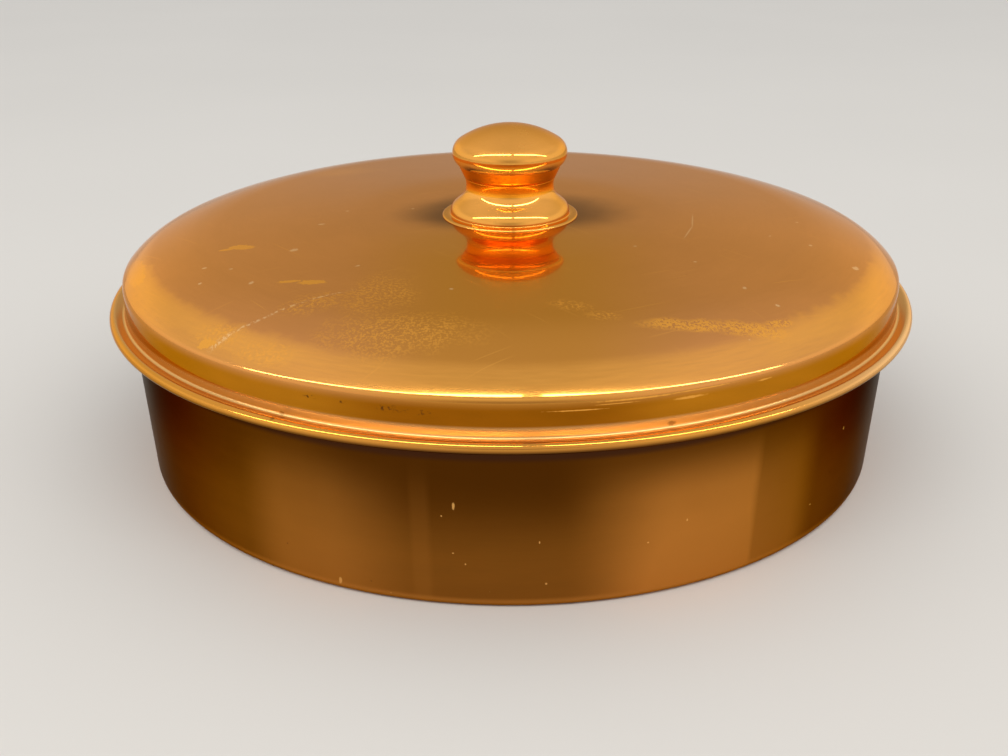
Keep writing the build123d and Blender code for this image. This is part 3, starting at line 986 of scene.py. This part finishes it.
# The stage in metres and watts: each tube's inner and outer end, and the soft light. The sensor
# is in millimetres.
TUBES = (("Left tube", 0.09, -5.3), ("Right tube", 0.25, 5.7))
TUBE_FORWARD = -1.10
TUBE_HEIGHT = 1.95
TUBE_WIDTH = 0.16
AIM_HEIGHT = 0.06
SOFT_LIGHT_PLACE = (0, -0.9, 1.2)
SOFT_LIGHT_SIZE = (3.0, 0.3)
SOFT_LIGHT_POWER = 12.0
SENSOR_WIDTH = 36
NEAREST_SEEN = 0.01
FARTHEST_SEEN = 20

# The background, in shares of its upward, forward and sideward parts
SKY_RISE = (0.40, 0.95)
FRONT_SKY_FORWARD = (-0.35, -0.75)
FRONT_SKY_RISE = (0.45, 0.60, 0.25)
SIDE_SKY_ACROSS = (0.05, 0.65)
SIDE_SKY_FADE = (0.22, 0.48)


def area_lamp(name, place, size, power, tint, aim):
    data = bpy.data.lights.new(name, "AREA")
    data.shape = "RECTANGLE"
    data.size, data.size_y = size
    data.energy = power
    data.color = tint
    lamp = bpy.data.objects.new(name, data)
    bpy.context.scene.collection.objects.link(lamp)
    away = (Vector(place) - Vector(aim)).to_track_quat("Z", "Y")
    lamp.matrix_world = Matrix.Translation(place) @ away.to_matrix().to_4x4()
    lamp.visible_camera = False
    return lamp


class COVERED_DISH_OT_stage(bpy.types.Operator):
    """Lay the floor, light the dish and place the camera"""

    bl_idname = "covered_dish.stage"
    bl_label = "Set the stage"

    def execute(self, context):
        scene = context.scene
        stage = scene.covered_dish.stage
        self.floor(stage)
        self.background(scene, stage)
        tint = stage.lamp_tint
        for name, inner, outer in TUBES:
            middle = (inner + outer) / 2
            place = (middle, TUBE_FORWARD, TUBE_HEIGHT)
            size = (abs(outer - inner), TUBE_WIDTH)
            power = math.pi * stage.tube_brightness * size[0] * size[1]
            tube = area_lamp(name, place, size, power, tint, (middle, 0, AIM_HEIGHT))
            tube.visible_diffuse = False
        soft = area_lamp(
            "Soft light",
            SOFT_LIGHT_PLACE,
            SOFT_LIGHT_SIZE,
            SOFT_LIGHT_POWER,
            tint,
            (0, 0, AIM_HEIGHT),
        )
        soft.visible_glossy = False
        self.camera(scene, stage)
        scene.view_settings.view_transform = "Standard"
        return {"FINISHED"}

    def floor(self, stage):
        mesh = bmesh.new()
        bmesh.ops.create_grid(mesh, x_segments=1, y_segments=1, size=stage.floor_size)
        data = bpy.data.meshes.new("floor")
        mesh.to_mesh(data)
        mesh.free()
        floor = bpy.data.objects.new("floor", data)
        bpy.context.scene.collection.objects.link(floor)
        finish = Finish("Pale floor")
        tint = finish.shade(stage.floor, 0.97 + finish.noise(size=0.25) * 0.06)
        sockets = {"Base Color": tint, "Roughness": 0.9}
        shader = finish.add("ShaderNodeBsdfPrincipled", sockets)
        data.materials.append(finish.close(shader.outputs["BSDF"]))

    def background(self, scene, stage):
        world = bpy.data.worlds.new("Studio")
        scene.world = world
        world.use_nodes = True
        sky = Nodes(world.node_tree)
        across, along, up = sky.parts(sky.add("ShaderNodeTexCoord").outputs["Generated"])
        tint = sky.blend(stage.low_sky, stage.high_sky, sky.rise(up, *SKY_RISE))
        ahead = sky.rise(along, *FRONT_SKY_FORWARD) * sky.band(up, *FRONT_SKY_RISE)
        tint = sky.blend(tint, stage.front_sky, ahead)
        aside = sky.rise(sky.maths("ABSOLUTE", across), *SIDE_SKY_ACROSS)
        aside = aside * (1.0 - sky.rise(up, *SIDE_SKY_FADE) * 0.5)
        tint = sky.blend(tint, stage.side_sky, aside)
        light = sky.add("ShaderNodeBackground", {"Color": tint}).outputs["Background"]
        sky.add("ShaderNodeOutputWorld", {"Surface": light})

    def camera(self, scene, stage):
        data = bpy.data.cameras.new("Camera")
        data.sensor_fit = "HORIZONTAL"
        data.sensor_width = SENSOR_WIDTH
        data.lens = stage.focal_length
        data.clip_start = NEAREST_SEEN
        data.clip_end = FARTHEST_SEEN
        camera = bpy.data.objects.new("Camera", data)
        scene.collection.objects.link(camera)
        rise = stage.camera_rise
        place = Vector((0, -math.cos(rise), math.sin(rise))) * stage.camera_distance
        camera.matrix_world = (
            Matrix.Translation(place)
            @ Matrix.Rotation(stage.camera_swing, 4, "Z")
            @ (-place).to_track_quat("-Z", "Y").to_matrix().to_4x4()
            @ Matrix.Rotation(stage.camera_lift, 4, "X")
            @ Matrix.Rotation(stage.camera_roll, 4, "Z")
        )
        scene.camera = camera


STEPS = (
    COVERED_DISH_OT_dish,
    COVERED_DISH_OT_lid,
    COVERED_DISH_OT_knob,
    COVERED_DISH_OT_fittings,
    COVERED_DISH_OT_stage,
)


class COVERED_DISH_PT_steps(bpy.types.Panel):
    """The steps that make the covered dish, in order"""

    bl_idname = "COVERED_DISH_PT_steps"
    bl_label = "Covered dish"
    bl_space_type = "VIEW_3D"
    bl_region_type = "UI"
    bl_category = "Dish"

    def draw(self, context):
        for step in STEPS:
            self.layout.operator(step.bl_idname)
        settings = context.scene.covered_dish
        for name in settings.__annotations__:
            group = getattr(settings, name)
            box = self.layout.box()
            for key in group.__annotations__:
                box.prop(group, key)


GROUPS = (DishSizes, LidSizes, KnobSizes, Finishes, StageSettings, DishSettings)


def register():
    for part in (*GROUPS, *STEPS, COVERED_DISH_PT_steps):
        bpy.utils.register_class(part)
    bpy.types.Scene.covered_dish = bpy.props.PointerProperty(type=DishSettings)


def unregister():
    del bpy.types.Scene.covered_dish
    for part in reversed((*GROUPS, *STEPS, COVERED_DISH_PT_steps)):
        bpy.utils.unregister_class(part)


def main():
    register()
    for step in STEPS:
        group, name = step.bl_idname.split(".")
        getattr(getattr(bpy.ops, group), name)()


if __name__ == "__main__":
    main()
